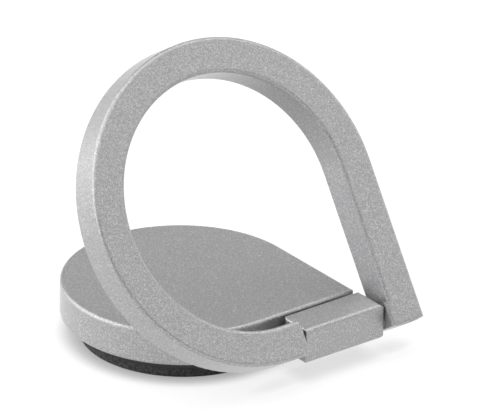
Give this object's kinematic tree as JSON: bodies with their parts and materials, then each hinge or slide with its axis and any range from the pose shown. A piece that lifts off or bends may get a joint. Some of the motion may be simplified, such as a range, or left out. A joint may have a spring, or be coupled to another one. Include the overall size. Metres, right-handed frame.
{
  "type": "phone ring holder",
  "caption": "Drop-shaped phone ring holder: a plate that swivels on an adhesive foot, and a hinged finger ring that folds flush round the plate.",
  "frame": {"origin": "centre of the adhesive pad's underside, on the swivel axis", "axes": "+Z away from the phone along the swivel axis, +X along the hinge pin towards the square corner, -Y from the plate towards the hinge"},
  "size_m": [0.036, 0.0327, 0.0344],
  "materials": {
    "silver": "fine bead-blasted silver, satin",
    "steel": "turned bright",
    "nylon": "plain matt",
    "black_plastic": "moulded satin",
    "black_foam": "cut foam tape"
  },
  "bodies": {
    "foot": {"adhesive_pad": "black_foam", "base_disc": "black_plastic", "slip_washer": "nylon", "wave_washer": "steel"},
    "holder": {"drop_plate": "silver", "pivot_screw": "steel"},
    "loop": {"ring": "silver", "hinge_pin": "steel", "left_friction_washer": "steel", "right_friction_washer": "steel"}
  },
  "joints": [
    {"name": "swivel", "type": "hinge", "parent": "foot", "child": "holder", "pos_m": [0, 0, 0.00235], "axis": [0, 0, 1], "continuous": true},
    {"name": "ring_hinge", "type": "hinge", "parent": "holder", "child": "loop", "pos_m": [0, -0.01691, 0.00395], "axis": [1, 0, 0], "range_deg": [-57, 123]}
  ]
}
